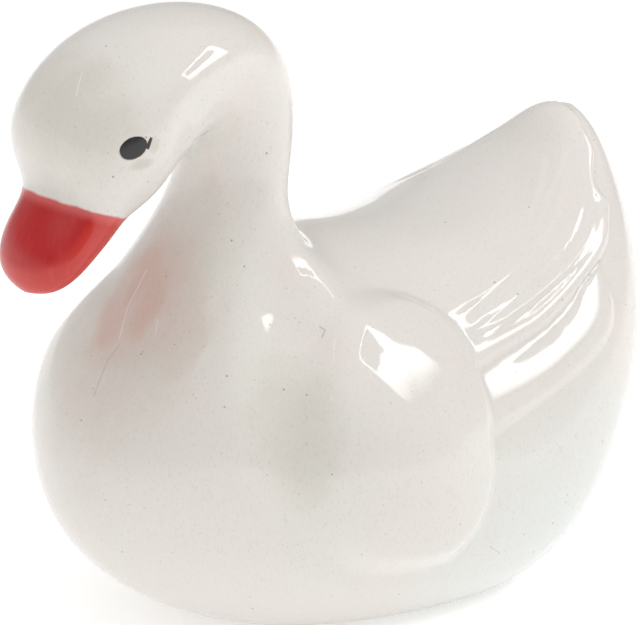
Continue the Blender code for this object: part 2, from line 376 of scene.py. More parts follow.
@dataclass(frozen=True)
class Carving:
    """The folded wings, the breast and the cheeks, as heights over the smooth body.

    They are drawn on a chart of the bird's side as seen from tilt above the level, in shares of the
    length: its first coordinate runs back along the bird and its second runs up.
    """

    tilt: float = np.radians(35)
    centre: tuple[float, float] = (-0.080, 0.060)
    reach: tuple[float, ...] = (
        *(0.130, 0.165, 0.226, 0.235, 0.205, 0.180),
        *(0.175, 0.150, 0.130, 0.128, 0.146, 0.137),
    )
    slope: tuple[float, ...] = (
        *(0.020, 0.020, 0.028, 0.050, 0.060, 0.060),
        *(0.050, 0.035, 0.030, 0.030, 0.030, 0.025),
    )
    shoulder_rise: float = 0.0007
    shoulder_front: float = -0.30
    shoulder_back: float = -0.08
    shoulder_crown: float = 0.0014
    rows: tuple[FeatherRow, ...] = (UPPER_ROW, LOWER_ROW)
    foot: float = 0.006
    feathers_start: float = 0.01
    feathers_ease: float = 0.03
    lines: tuple[ChartLine, ...] = FEATHER_LINES
    line_depth: float = 0.00008
    line_width: float = 0.008
    line_fall: float = 0.026
    line_start: float = 0.12
    line_end: float = 0.15
    breast: tuple[float, float] = (-0.290, 0.190)
    breast_reach: float = 0.140
    breast_rise: float = 0.0007
    breast_furrow: Furrow = BREAST_FURROW
    cheek_furrow: Furrow = CHEEK_FURROW
    carved_length: tuple[float, float] = (-0.45, 0.47)
    carved_top: float = 0.60
    cheek_bottom: float = 0.58

    @staticmethod
    def beside(points: ChartLine, p: np.ndarray, q: np.ndarray) -> tuple[np.ndarray, np.ndarray]:
        """Where chart places lie against a smooth curve through chart points.

        Args:
            points: The chart points, in order.
            p: First chart coordinate of each place.
            q: Second chart coordinate of each place.

        Returns:
            How far each place lies to the left of the curve, and the share of the curve it is at.
        """
        ends = np.array([points[0], *points, points[-1]])
        t = np.linspace(0, 1, 8, endpoint=False)[:, None]
        spans = [between(a, b, c, d, t) for a, b, c, d in zip(ends, ends[1:], ends[2:], ends[3:])]
        curve = np.concatenate([*spans, ends[-1:]])
        start = curve[:-1]
        run = np.diff(curve, axis=0)
        length = np.hypot(run[:, 0], run[:, 1])
        from_p = p[:, None] - start[:, 0]
        from_q = q[:, None] - start[:, 1]
        t = np.clip((from_p * run[:, 0] + from_q * run[:, 1]) / length**2, 0, 1)
        away = np.hypot(from_p - t * run[:, 0], from_q - t * run[:, 1])
        nearest = away.argmin(axis=1)
        place = np.arange(len(p))
        side = run[nearest, 0] * from_q[place, nearest] - run[nearest, 1] * from_p[place, nearest]
        passed = (np.cumsum(length) - length)[nearest] + t[place, nearest] * length[nearest]
        return away[place, nearest] * np.sign(side), passed / length.sum()

    def shoulder(self, p: np.ndarray, q: np.ndarray) -> tuple[np.ndarray, np.ndarray]:
        """The domed shoulder of covert feathers.

        Its outline is a smooth closed curve of reach against angle about its centre. Inside it the
        height eases up over the slope's width, to a rise that grows from front to back, and a dome
        adds the crown.

        Args:
            p: First chart coordinate of each place.
            q: Second chart coordinate of each place.

        Returns:
            The height, and the shoulder's share of each place: 1 on it and 0 off it.
        """
        back = p - self.centre[0]
        up = q - self.centre[1]
        angle = np.arctan2(up, back) % (2 * np.pi)
        reach = around_clock(self.reach, angle)
        away = np.hypot(back, up)
        share = smooth_step((reach - away) / around_clock(self.slope, angle))
        grown = smooth_step((p - self.shoulder_front) / (self.shoulder_back - self.shoulder_front))
        return share * grown * self.shoulder_rise + self.shoulder_crown * self.dome(away / reach), share

    @staticmethod
    def dome(share: np.ndarray) -> np.ndarray:
        """A round dome by the share of its reach: 1 in its middle, and 0 and level at its edge."""
        return (1 - np.clip(share, 0, 1) ** 2) ** 1.5

    def long_feathers(self, p: np.ndarray, q: np.ndarray) -> np.ndarray:
        """Height of the feather rows, each lying over the next one below, and of the lines on them.

        A line is a small step that eases up across the line and back down over line_fall.
        """
        height = np.zeros(len(p))
        uncovered = np.ones(len(p))
        for row in self.rows:
            side, passed = self.beside(row.edge, p, q)
            height += uncovered * row.height(side, passed, self.foot)
            uncovered *= side < 0
        for points in self.lines:
            side, passed = self.beside(points, p, q)
            ends = smooth_step(passed / self.line_start) * smooth_step((1 - passed) / self.line_end)
            ridge = smooth_step(side / self.line_width + 0.5) * (1 - smooth_step(side / self.line_fall))
            height += self.line_depth * ends * ridge
        return height

    def wing_and_breast(self, p: np.ndarray, q: np.ndarray) -> np.ndarray:
        """Height of the carved wing and breast at each chart place."""
        shoulder, share = self.shoulder(p, q)
        behind_shoulder = smooth_step((p - self.feathers_start) / self.feathers_ease)
        feathers = (1 - share) * behind_shoulder * self.long_feathers(p, q)
        from_breast = np.hypot(p - self.breast[0], q - self.breast[1]) / self.breast_reach
        furrow = self.breast_furrow.depth_at(*self.beside(self.breast_furrow.line, p, q))
        return shoulder + feathers + self.breast_rise * self.dome(from_breast) - furrow

    def height(self, body: np.ndarray) -> np.ndarray:
        """Height of the carving over each point of the smooth body.

        Args:
            body: Points of the smooth body, in shares of the length.

        Returns:
            The height in metres, 0 away from the carving.
        """
        x, y, z = np.moveaxis(body, -1, 0)
        q = z * np.cos(self.tilt) - np.abs(y) * np.sin(self.tilt)
        front, back = self.carved_length
        below_head = (x > front) & (x < back) & (z < self.carved_top)
        at_cheek = (x < 0) & (z > self.cheek_bottom)
        height = np.zeros(x.shape)
        height[below_head] = self.wing_and_breast(x[below_head], q[below_head])
        beside = self.beside(self.cheek_furrow.line, x[at_cheek], q[at_cheek])
        height[at_cheek] -= self.cheek_furrow.depth_at(*beside)
        return height


class Tone:
    """A number that varies over a surface, with Python's operators as Math nodes."""

    def __init__(self, sheet: "NodeSheet", socket: bpy.types.NodeSocket) -> None:
        """Keeps the node sheet and the socket that gives the number."""
        self.sheet = sheet
        self.socket = socket

    def math(self, operation: str, *values: "Tone | float") -> "Tone":
        """The result of a Math node with these inputs."""
        return self.sheet.node("ShaderNodeMath", {"operation": operation}, dict(enumerate(values)))

    def __add__(self, other: "Tone | float") -> "Tone":
        """The sum."""
        return self.math("ADD", self, other)

    def __radd__(self, other: float) -> "Tone":
        """The sum, with the number first."""
        return self.math("ADD", other, self)

    def __sub__(self, other: "Tone | float") -> "Tone":
        """The difference."""
        return self.math("SUBTRACT", self, other)

    def __rsub__(self, other: float) -> "Tone":
        """The difference, with the number first."""
        return self.math("SUBTRACT", other, self)

    def __mul__(self, other: "Tone | float") -> "Tone":
        """The product."""
        return self.math("MULTIPLY", self, other)

    def __rmul__(self, other: float) -> "Tone":
        """The product, with the number first."""
        return self.math("MULTIPLY", other, self)

    def __truediv__(self, other: "Tone | float") -> "Tone":
        """The quotient."""
        return self.math("DIVIDE", self, other)

    def __pow__(self, other: "Tone | float") -> "Tone":
        """The power."""
        return self.math("POWER", self, other)

    def __abs__(self) -> "Tone":
        """The number without its sign."""
        return self.math("ABSOLUTE", self)

    def least(self, other: "Tone | float") -> "Tone":
        """The smaller of two numbers."""
        return self.math("MINIMUM", self, other)

    def most(self, other: "Tone | float") -> "Tone":
        """The larger of two numbers."""
        return self.math("MAXIMUM", self, other)

    def sine(self) -> "Tone":
        """The sine of the number, in radians."""
        return self.math("SINE", self)

    def ramp(self, start: float, end: float) -> "Tone":
        """0 at start and 1 at end, easing softly between them and held beyond them.

        Args:
            start: The value that gives 0.
            end: The value that gives 1. It may be less than start.

        Returns:
            The ramped number.
        """
        low, high = min(start, end), max(start, end)
        found = self.sheet.node(
            "ShaderNodeMapRange",
            {"interpolation_type": "SMOOTHSTEP", "clamp": True},
            {"Value": self, "From Min": low, "From Max": high, "To Min": 0.0, "To Max": 1.0},
        )
        return found if start < end else 1 - found


class Place(NamedTuple):
    """A point of the surface, as a vector and as its three coordinates in millimetres."""

    point: Tone
    x: Tone
    y: Tone
    z: Tone


class NodeSheet:
    """Adds nodes to one node tree."""

    def __init__(self, tree: bpy.types.NodeTree) -> None:
        """Keeps the tree and empties it."""
        self.tree = tree
        tree.nodes.clear()

    def node(
        self,
        kind: str,
        settings: dict[str, object] | None = None,
        values: "dict[str | int, Tone | float | tuple[float, ...]] | None" = None,
        out: str | int = 0,
    ) -> Tone:
        """Adds a node.

        Args:
            kind: The node's type name.
            settings: The node's own properties, set before its sockets.
            values: A number, a tuple or a link for each socket, by name or by place.
            out: The output wanted, by name or by place.

        Returns:
            That output.
        """
        added = self.tree.nodes.new(kind)
        for name, value in (settings or {}).items():
            setattr(added, name, value)
        for name, value in (values or {}).items():
            if isinstance(value, Tone):
                self.tree.links.new(value.socket, added.inputs[name])
            else:
                added.inputs[name].default_value = value
        return Tone(self, added.outputs[out])

    def blend(self, share: Tone | float, base: Tone | Colour, over: Tone | Colour) -> Tone:
        """The colour over laid on base by a share from 0 to 1."""
        settings = {"data_type": "RGBA", "clamp_factor": True}
        return self.node("ShaderNodeMix", settings, {0: share, 6: base, 7: over}, out=2)

    def place(self) -> Place:
        """The surface point in the object's own coordinates."""
        point = self.node("ShaderNodeTexCoord", out="Object")
        settings = {"operation": "SCALE"}
        in_mm = self.node("ShaderNodeVectorMath", settings, {0: point, "Scale": 1 / MM})
        x, y, z = (self.node("ShaderNodeSeparateXYZ", None, {0: in_mm}, out=axis) for axis in range(3))
        return Place(in_mm, x, y, z)

    def scaled(self, point: Tone, scale: Spot) -> Tone:
        """A point stretched along each axis, for a pattern that is longer one way."""
        return self.node("ShaderNodeVectorMath", {"operation": "MULTIPLY"}, {0: point, 1: scale})

    def noise(self, point: Tone, scale: float, detail: float = 2.0, roughness: float = 0.5) -> Tone:
        """Cloudy pattern around 0.5.

        Args:
            point: Where it is read, in millimetres.
            scale: Clouds for each millimetre.
            detail: How many finer layers it has.
            roughness: How strong they are.

        Returns:
            The pattern's number.
        """
        values = {"Vector": point, "Scale": scale, "Detail": detail, "Roughness": roughness}
        return self.node("ShaderNodeTexNoise", {"noise_dimensions": "3D"}, values)

    def specks(self, point: Tone, spacing: float, size: float, share: float) -> Tone:
        """Scattered round specks.

        Args:
            point: Where the pattern is read, in millimetres.
            spacing: Width of the cells that may hold a speck, in millimetres.
            size: A speck's radius in millimetres.
            share: The share of the cells that hold one.

        Returns:
            1 inside a speck and 0 outside, with a soft edge.
        """
        values = {"Vector": point, "Scale": 1 / spacing, "Randomness": 1.0}
        settings = {"feature": "F1", "distance": "EUCLIDEAN"}
        away = self.node("ShaderNodeTexVoronoi", settings, values, out="Distance")
        chance = Tone(self, away.socket.node.outputs["Color"])
        draw = self.node("ShaderNodeSeparateColor", None, {0: chance}, out=0)
        radius = size / spacing * (1 - draw / share).most(0.0)
        return (away - radius).ramp(0.02, -0.02)


@dataclass(frozen=True)
class SpeckLayer:
    """Pin specks of one kind: the width of the cells that may hold one and the largest speck's radius,
    in millimetres, the share of the cells that hold one, and how dark they are."""

    spacing: float
    radius: float
    share: float
    strength: float

    def cover(self, sheet: NodeSheet, place: Place) -> Tone:
        """How much the specks cover."""
        return sheet.specks(place.point, self.spacing, self.radius, self.share) * self.strength


@dataclass(frozen=True)
class StainAndPaintedLight:
    """A soft tinted area on the glaze, used for real stained areas and for painted shade and painted
    reflections:
    its middle and its reach in millimetres, its colour, and how much of the colour shows in the middle."""

    middle: Spot
    reach: Spot
    colour: Colour
    share: float

    def cover(self, place: Place, cloud: Tone) -> Tone:
        """How much the patch covers: its share in the middle, easing to 0 at its clouded edge."""
        x, y, z = ((axis - at) / far for axis, at, far in zip(place[1:], self.middle, self.reach))
        return (x * x + y * y + z * z + cloud).ramp(1.0, 0.0) * self.share


@dataclass(frozen=True)
class Mark:
    """A fine scratch or hair in the glaze: the places that it runs through and its half width in
    millimetres, its colour, and how much of the colour shows along its middle."""

    places: tuple[Spot, ...]
    half_width: float
    colour: Colour
    share: float

    @staticmethod
    def stroke(place: Place, start: Spot, end: Spot) -> Tone:
        """The square of the distance to one straight run of the mark.

        Args:
            place: The surface point.
            start: Where the run starts.
            end: Where it ends.

        Returns:
            The squared distance in square millimetres.
        """
        run = np.subtract(end, start)
        long = float(np.linalg.norm(run))
        ways = (run / long).tolist()
        offs = [axis - at for axis, at in zip(place[1:], start)]
        along = (offs[0] * ways[0] + offs[1] * ways[1] + offs[2] * ways[2]).most(0.0).least(long)
        x, y, z = (off - along * way for off, way in zip(offs, ways))
        return x * x + y * y + z * z

    def cover(self, place: Place) -> Tone:
        """How much the mark covers: its share along its middle, easing to 0 at its half width."""
        first, *others = (self.stroke(place, a, b) for a, b in zip(self.places, self.places[1:]))
        for other in others:
            first = first.least(other)
        return first.ramp(self.half_width**2, 0.0) * self.share


# Painted shade: an olive darkening on the forehead's side away from the key light, on the neck's front
# under the head and in the furrow before the wing.
OLIVE_PAINTED_SHADE: Colour = (0.57, 0.545, 0.46, 1)
# Russet: a small fleck on the lower flank, and on the neck's front under the chin a painted reflection
# of the red bill, darkened as painted shade.
RUSSET_FLECK_AND_BILL_REFLECTION: Colour = (0.63, 0.40, 0.33, 1)
SMUDGE: Colour = (0.34, 0.32, 0.25, 1)
# Painted reflection: a cool pale tone standing in for the bright floor's light on the lower flank
# towards the tail.
COOL_PAINTED_REFLECTION: Colour = (0.695, 0.715, 0.690, 1)
HAIR: Colour = (0.24, 0.18, 0.14, 1)
SCRATCH: Colour = (0.83, 0.81, 0.78, 1)
PIN_SPECKS = (
    SpeckLayer(0.50, 0.070, 0.45, 0.30),
    SpeckLayer(1.10, 0.090, 0.50, 0.60),
    SpeckLayer(3.00, 0.120, 0.50, 0.85),
)
# Stained areas, and patches of painted shade and painted reflections.
STAINS_AND_PAINTED_LIGHT = (
    # Painted reflection of the bright floor on the lower flank.
    StainAndPaintedLight((13.0, -15.0, 4.0), (21.0, 14.0, 14.0), COOL_PAINTED_REFLECTION, 0.9),
    # Painted shade on the forehead, on the neck's front under the head and in the furrow before the
    # wing.
    StainAndPaintedLight((-25.2, -1.6, 42.6), (5.5, 7.0, 7.0), OLIVE_PAINTED_SHADE, 0.48),
    StainAndPaintedLight((-18.0, 0.5, 23.0), (10.0, 8.5, 13.0), OLIVE_PAINTED_SHADE, 0.30),
    StainAndPaintedLight((-13.4, -12.4, 19.0), (4.2, 5.0, 7.0), OLIVE_PAINTED_SHADE, 0.42),
    # Painted reflection of the red bill on the neck's front under the chin, darkened as painted shade.
    StainAndPaintedLight((-16.5, 1.0, 26.0), (9.0, 4.5, 6.5), RUSSET_FLECK_AND_BILL_REFLECTION, 0.26),
    StainAndPaintedLight((-15.5, 1.8, 27.6), (8.0, 1.9, 2.8), RUSSET_FLECK_AND_BILL_REFLECTION, 0.34),
    StainAndPaintedLight((-17.5, 2.8, 24.6), (8.0, 2.0, 2.8), RUSSET_FLECK_AND_BILL_REFLECTION, 0.38),
    StainAndPaintedLight((-16.8, -0.3, 25.7), (8.0, 1.6, 3.0), RUSSET_FLECK_AND_BILL_REFLECTION, 0.40),
    StainAndPaintedLight((-22.2, -6.4, 39.5), (1.2, 2.5, 0.6), SMUDGE, 0.30),
    StainAndPaintedLight((-21.4, -6.8, 40.9), (0.6, 2.5, 0.9), SMUDGE, 0.25),
)
MARKS = (
    Mark(((-15.3, 1.5, 27.8), (-17.0, 1.6, 25.4), (-18.4, 0.9, 23.5)), 0.11, SCRATCH, 0.40),
    Mark(((-18.7, 0.6, 23.1), (-19.5, 1.0, 22.0), (-21.0, 0.8, 19.7)), 0.11, HAIR, 0.20),
    Mark(((-17.0, -1.8, 25.3), (-17.6, -2.2, 24.4)), 0.08, SCRATCH, 0.45),
    Mark(((-8.7, -11.7, 24.4), (-9.9, -12.9, 22.7), (-10.9, -13.8, 20.9)), 0.10, SCRATCH, 0.45),
    Mark(((-7.4, -13.6, 23.4), (-8.1, -14.0, 22.7)), 0.08, SCRATCH, 0.50),
    Mark(((-23.3, -1.2, 45.3), (-24.5, -2.0, 44.0)), 0.10, SCRATCH, 0.45),
    Mark(((-8.9, -10.3, 25.1), (-8.7, -10.7, 24.9), (-9.2, -10.9, 24.5)), 0.07, HAIR, 0.45),
    Mark(((2.3, -16.7, 6.8), (3.6, -16.4, 5.8)), 0.08, RUSSET_FLECK_AND_BILL_REFLECTION, 0.70),
)


@dataclass(frozen=True)
class WhiteGlaze:
    """Warm white glaze over the clay: faint tints and stained areas, painted shade and painted
    reflections, scratches, hairs, dark pin specks, and a surface that isn't quite even."""

    colour: Colour = (0.715, 0.680, 0.640, 1)
    green_tint: Colour = (0.690, 0.692, 0.636, 1)
    pink_tint: Colour = (0.735, 0.668, 0.628, 1)
    speck_colour: Colour = (0.17, 0.12, 0.08, 1)
    green_share: float = 0.7
    pink_share: float = 0.6
    clouded: float = 1.0
    grain_share: float = 0.09
    specks: tuple[SpeckLayer, ...] = PIN_SPECKS
    stains_and_painted_light: tuple[StainAndPaintedLight, ...] = STAINS_AND_PAINTED_LIGHT
    marks: tuple[Mark, ...] = MARKS
    swell: float = 0.030
    ripple: float = 0.0022
    roughness: float = 0.055

    def hue(self, sheet: NodeSheet, place: Place) -> Tone:
        """The glaze's colour: the base, drifting to the two tints, with stained areas, painted shade and
        painted reflections, marks and specks.
        """
        drift = sheet.noise(place.point, 0.11, 3.0)
        tinted = sheet.blend(drift.ramp(0.52, 0.72) * self.green_share, self.colour, self.green_tint)
        drift = sheet.noise(sheet.scaled(place.point, (1.0, 1.0, 0.8)), 0.17, 2.0)
        tinted = sheet.blend(drift.ramp(0.55, 0.75) * self.pink_share, tinted, self.pink_tint)
        cloud = (sheet.noise(place.point, 0.45, 3.0) - 0.5) * self.clouded
        for stain_or_light_patch in self.stains_and_painted_light:
            tinted = sheet.blend(stain_or_light_patch.cover(place, cloud), tinted, stain_or_light_patch.colour)
        for mark in self.marks:
            tinted = sheet.blend(mark.cover(place), tinted, mark.colour)
        grain = sheet.noise(sheet.scaled(place.point, (1.0, 1.0, 0.6)), 5.0, 2.0, 0.6)
        dark = grain.ramp(0.50, 0.75) * self.grain_share
        for layer in self.specks:
            dark = dark.most(layer.cover(sheet, place))
        return sheet.blend(dark, tinted, self.speck_colour)

    def waviness(self, sheet: NodeSheet, place: Place) -> Tone:
        """Height of the glaze's uneven surface in millimetres."""
        swell = sheet.noise(place.point, 0.35, 1.0) * self.swell
        return swell + sheet.noise(place.point, 1.6, 1.0) * self.ripple


@dataclass(frozen=True)
class RedPaint:
    """Red brushed over the bill up to a slanting edge, thin at its edge and under the bill, and
    streaked by the brush. Places are in millimetres, seen from the side."""

    thick: Colour = (0.43, 0.001, 0.002, 1)
    thin: Colour = (0.56, 0.045, 0.032, 1)
    faded: Colour = (0.66, 0.15, 0.14, 1)
    under_x: float = -25.0
    under_z: float = 34.8
    edge_x: float = -26.05
    edge_z: float = 36.35
    edge_slope: float = -0.37
    back_x: float = -19.5
    bottom_z: float = 28.0
    wobble: float = 0.3
    streaked: float = 0.30
    thin_under: float = 0.70
    fade_width: float = 0.95
    fade_share: float = 0.65

    def over_edge(self, place: Place) -> Tone:
        """How high a place lies over the slanting edge."""
        return place.z - self.edge_z - self.edge_slope * (place.x - self.edge_x)

    def share(self, sheet: NodeSheet, place: Place) -> Tone:
        """How much of the surface is painted: 1 below the slanting edge, easing off across it."""
        wobble = (sheet.noise(place.point, 0.9, 2.0) - 0.5) * self.wobble
        in_front = place.x.ramp(self.back_x + 0.3, self.back_x)
        above_breast = place.z.ramp(self.bottom_z - 0.5, self.bottom_z + 0.5)
        return (self.over_edge(place) + wobble).ramp(0.16, -0.10) * in_front * above_breast

    def hue(self, sheet: NodeSheet, place: Place) -> Tone:
        """Red with long streaks from the forehead to the tip, thinner below and fading at its edge."""
        streaks = sheet.noise(sheet.scaled(place.point, (1.9, 1.9, 0.45)), 1.3, 4.0, 0.6)
        under = ((place.x - self.under_x) - (place.z - self.under_z)) * float(np.sqrt(0.5))
        thinned = streaks.ramp(0.50, 0.80) * self.streaked + under.ramp(-0.45, 0.20) * self.thin_under
        red = sheet.blend(thinned, self.thick, self.thin)
        fading = self.over_edge(place).ramp(-self.fade_width, 0.0) * self.fade_share
        return sheet.blend(fading, red, self.faded)


@dataclass(frozen=True)
class BlackPaint:
    """The eye, one dab of black with a small tail where the brush left it.

    Places are in millimetres, seen from the side. The tail's are counted from the eye's middle.
    """

    colour: Colour = (0.020, 0.018, 0.018, 1)
    thin: Colour = (0.36, 0.20, 0.11, 1)
    thin_share: float = 0.60
    x: float = -22.85
    z: float = 40.8
    half_length: float = 0.89
    half_height: float = 0.80
    lean: float = 0.30
    unsteady: float = 0.22
    side_y: float = 3.25
    tail_back: float = 1.02
    tail_up: float = 0.10
    tail_slope: float = np.radians(63)

    def share(self, sheet: NodeSheet, place: Place) -> tuple[Tone, Tone]:
        """How much of the surface is covered, and where the paint is thin.

        The dab is a leaning oval, its radius unsettled by the brush. The tail is a short stroke that
        rises from the dab's back and narrows towards its end.

        Args:
            sheet: The material's nodes.
            place: The surface point.

        Returns:
            The share that is black, and the share where the paint below it is thin.
        """
        unsteady = (sheet.noise(place.point, 1.4, 1.0) - 0.5) * self.unsteady
        on_side = abs(place.y).ramp(self.side_y - 0.25, self.side_y + 0.25)
        along = place.x - self.x
        up = place.z - self.z
        across = (along - self.lean * up) / self.half_length
        tall = up / self.half_height
        oval = across * across + tall * tall + unsteady
        dab = oval.ramp(1.10, 0.98)
        fringe = oval.ramp(1.30, 1.06) * up.ramp(0.1, -0.5)
        run, rise = float(np.cos(self.tail_slope)), float(np.sin(self.tail_slope))
        on_tail = (along - self.tail_back) * run + (up - self.tail_up) * rise
        off_tail = abs((along - self.tail_back) * rise - (up - self.tail_up) * run)
        tail = (off_tail + on_tail * 0.10).ramp(0.19, 0.12)
        tail = tail * on_tail.ramp(-0.35, -0.25) * on_tail.ramp(0.62, 0.52)
        return dab.most(tail) * on_side, fringe * on_side


@dataclass
class Swan:
    """The whole piece: its form on a fine grid, and its finishes on one skin.

    The grid is closer by crowding where it lies less than crowded_until along the bird, and on its
    sides.
    """

    form: BodyForm = field(default_factory=BodyForm)
    carving: Carving = field(default_factory=Carving)
    glaze: WhiteGlaze = field(default_factory=WhiteGlaze)
    bill: RedPaint = field(default_factory=RedPaint)
    eye: BlackPaint = field(default_factory=BlackPaint)
    rows_along: int = 330
    rows_around: int = 300
    crowding: float = 0.9
    crowded_until: float = 0.60
    steps: int = 2001
    painted_roughness: float = 0.10
    dabbed_roughness: float = 0.12

    @staticmethod
    def spread(count: int, crowd: np.ndarray) -> np.ndarray:
        """Places from 0 to 1 that lie closer together where crowd is larger.

        Args:
            count: How many places.
            crowd: How crowded they are, at equal steps from 0 to 1.

        Returns:
            The places, found by reading the running sum of crowd backwards.
        """
        total = np.concatenate([[0], np.cumsum((crowd[1:] + crowd[:-1]) / 2)])
        return np.interp(np.linspace(0, 1, count), total / total[-1], np.linspace(0, 1, len(crowd)))

    def grid(self) -> np.ndarray:
        """Points of the carved surface, closer together on the wings, the breast and the cheeks."""
        t = np.linspace(0, 1, self.steps)
        wings = smooth_step((self.crowded_until - t) / 0.10)
        along = self.spread(self.rows_along + 2, 1 + self.crowding * wings)[1:-1]
        turn = t * 2 * np.pi
        side = smooth_step((np.abs(np.sin(turn)) + 0.35 * np.cos(turn) - 0.2) / 0.3)
        around = self.spread(self.rows_around + 1, 1 + self.crowding * side)[:-1] * 2 * np.pi
        body = self.form.skin(along, around)
        placed = body * self.form.stretch()
        placed = placed + self.outward(placed) * self.carving.height(body)[..., None]
        placed[..., 2] = self.form.on_ground(placed[..., 2])
        return placed

    @staticmethod
    def outward(grid: np.ndarray) -> np.ndarray:
        """Unit normals of a grid whose second direction closes on itself, from its two slopes."""
        wrapped = np.concatenate([grid[:, -1:], grid, grid[:, :1]], axis=1)
        across = (wrapped[:, 2:] - wrapped[:, :-2]) / 2
        normal = np.cross(np.gradient(grid, axis=0), across)
        size = np.linalg.norm(normal, axis=-1, keepdims=True)
        return normal / np.where(size > 0, size, 1)

    def skin(self) -> bpy.types.Mesh:
        """The grid as a closed mesh, drawn together at the tail and bill tips."""
        grid = self.grid()
        rows, columns, _ = grid.shape
        ends = (self.form.stations[0], self.form.stations[-1])
        tips = np.array([[s.back_x, 0, s.back_z] for s in ends]) * self.form.stretch()
        index = np.arange(rows * columns).reshape(rows, columns)
        beside = np.roll(index, -1, axis=1)
        quads = np.stack([index[:-1], index[1:], beside[1:], beside[:-1]], axis=-1).reshape(-1, 4)
        tail, bill = rows * columns, rows * columns + 1
        fans = [(tail, a, b) for a, b in zip(index[0].tolist(), beside[0].tolist())]
        fans += [(bill, b, a) for a, b in zip(index[-1].tolist(), beside[-1].tolist())]
        mesh = bpy.data.meshes.new("glazed_swan")
        mesh.from_pydata([*grid.reshape(-1, 3).tolist(), *tips.tolist()], [], [*quads.tolist(), *fans])
        mesh.shade_smooth()
        return mesh

    def finish(self) -> bpy.types.Material:
        """The glaze with both paints over it."""
        material = bpy.data.materials.new("glaze_and_paint")
        material.use_nodes = True
        sheet = NodeSheet(material.node_tree)
        place = sheet.place()
        painted = self.bill.share(sheet, place)
        dabbed, fringe = self.eye.share(sheet, place)
        hue = self.glaze.hue(sheet, place)
        hue = sheet.blend(painted, hue, self.bill.hue(sheet, place))
        hue = sheet.blend(fringe * self.eye.thin_share, hue, self.eye.thin)
        hue = sheet.blend(dabbed, hue, self.eye.colour)
        rough = self.glaze.roughness + painted * self.painted_roughness + dabbed * self.dabbed_roughness
        wavy = self.glaze.waviness(sheet, place) * MM
        bump = sheet.node("ShaderNodeBump", None, {"Strength": 1.0, "Distance": 1.0, "Height": wavy})
        shader = sheet.node(
            "ShaderNodeBsdfPrincipled",
            {"subsurface_method": "RANDOM_WALK"},
            {
                "Base Color": hue,
                "Roughness": rough,
                "IOR": 1.52,
                "Subsurface Weight": 0.25,
                "Subsurface Radius": (1.0, 0.8, 0.6),
                "Subsurface Scale": 0.0012,
                "Normal": bump,
            },
        )
        output = material.node_tree.nodes.new("ShaderNodeOutputMaterial")
        material.node_tree.links.new(shader.socket, output.inputs["Surface"])
        return material

    def build(self) -> bpy.types.Object:
        """Makes the piece and puts it in place of the plain solid."""
        piece = bpy.data.objects.new("glazed_swan", self.skin())
        bpy.context.scene.collection.objects.link(piece)
        piece.data.materials.append(self.finish())
        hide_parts("swan")
        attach(piece, "root")
        return piece


def directions(azimuth: float, elevation: float) -> tuple[Vector, Vector, Vector]:
    """The directions of a view on the piece, from outside.

    Args:
        azimuth: How far round from the front, which is towards -y, in radians.
        elevation: How far up, in radians.

    Returns:
        The unit directions to the view's right, its top and out towards the viewer.
    """
    level = np.cos(elevation)
    out = Vector((np.sin(azimuth) * level, -np.cos(azimuth) * level, np.sin(elevation)))
    right = Vector((np.cos(azimuth), np.sin(azimuth), 0))
    return right, out.cross(right), out


@dataclass(frozen=True)
class Camera:
    """Where the photograph was taken from: round from the front, up, and away from the aim."""

    azimuth: float = np.radians(-42)
    elevation: float = np.radians(20)
    distance: float = 0.420
    aim: Spot = (1.95 * MM, 0.0, 20.0 * MM)
    right_of_aim: float = -1.13 * MM
    above_aim: float = 0.71 * MM
    lens: float = 314.2

    def build(self) -> None:
        """Makes the camera and sets it as the scene's own."""
        right, up, back = directions(self.azimuth, self.elevation)
        aim = Vector(self.aim) + right * self.right_of_aim + up * self.above_aim
        lens = bpy.data.cameras.new("camera")
        lens.lens = self.lens
        lens.sensor_width = 36
        lens.clip_start = 0.01
        camera = bpy.data.objects.new("camera", lens)
        turn = Matrix((right, up, back)).transposed().to_4x4()
        camera.matrix_world = Matrix.Translation(aim + back * self.distance) @ turn
        bpy.context.scene.collection.objects.link(camera)
        bpy.context.scene.camera = camera


